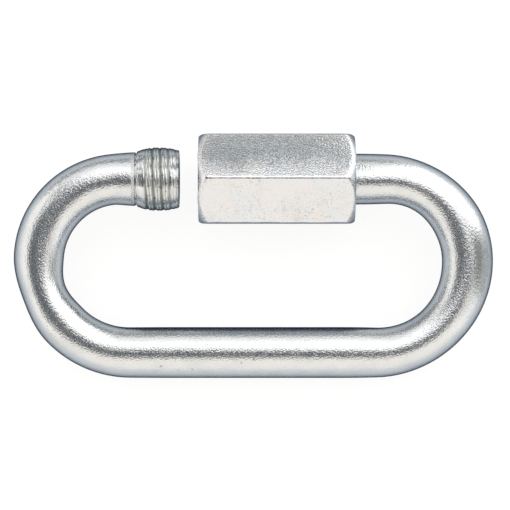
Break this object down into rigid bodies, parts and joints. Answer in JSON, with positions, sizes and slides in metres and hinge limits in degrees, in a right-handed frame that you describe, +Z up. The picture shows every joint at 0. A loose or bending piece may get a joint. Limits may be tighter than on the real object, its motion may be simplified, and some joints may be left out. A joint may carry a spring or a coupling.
{
  "type": "chain quick link",
  "caption": "Oval steel chain link bent from round rod, with a mouth in one long side that a hexagon sleeve nut screws across to close.",
  "frame": {"origin": "on the table that the link lies on, under the middle of its bounding box", "axes": "+X along the thread axis, from the closing end towards the nut; +Y across the oval, from the plain side to the threaded side; +Z up from the table"},
  "size_m": [0.0754, 0.0386, 0.016],
  "materials": {
    "zinc_rod": "bright zinc plate over drawn steel rod, fine grain",
    "zinc_nut": "bright zinc plate over drawn hexagon bar, mottled, with drawing scratches"
  },
  "bodies": {
    "link": {"link_body": "zinc_rod"},
    "nut": {"sleeve_nut": "zinc_nut"}
  },
  "joints": [
    {"name": "nut_travel", "type": "slide", "parent": "link", "child": "nut", "axis": [1, 0, 0], "range_m": [-0.00875, 0.00625]}
  ]
}
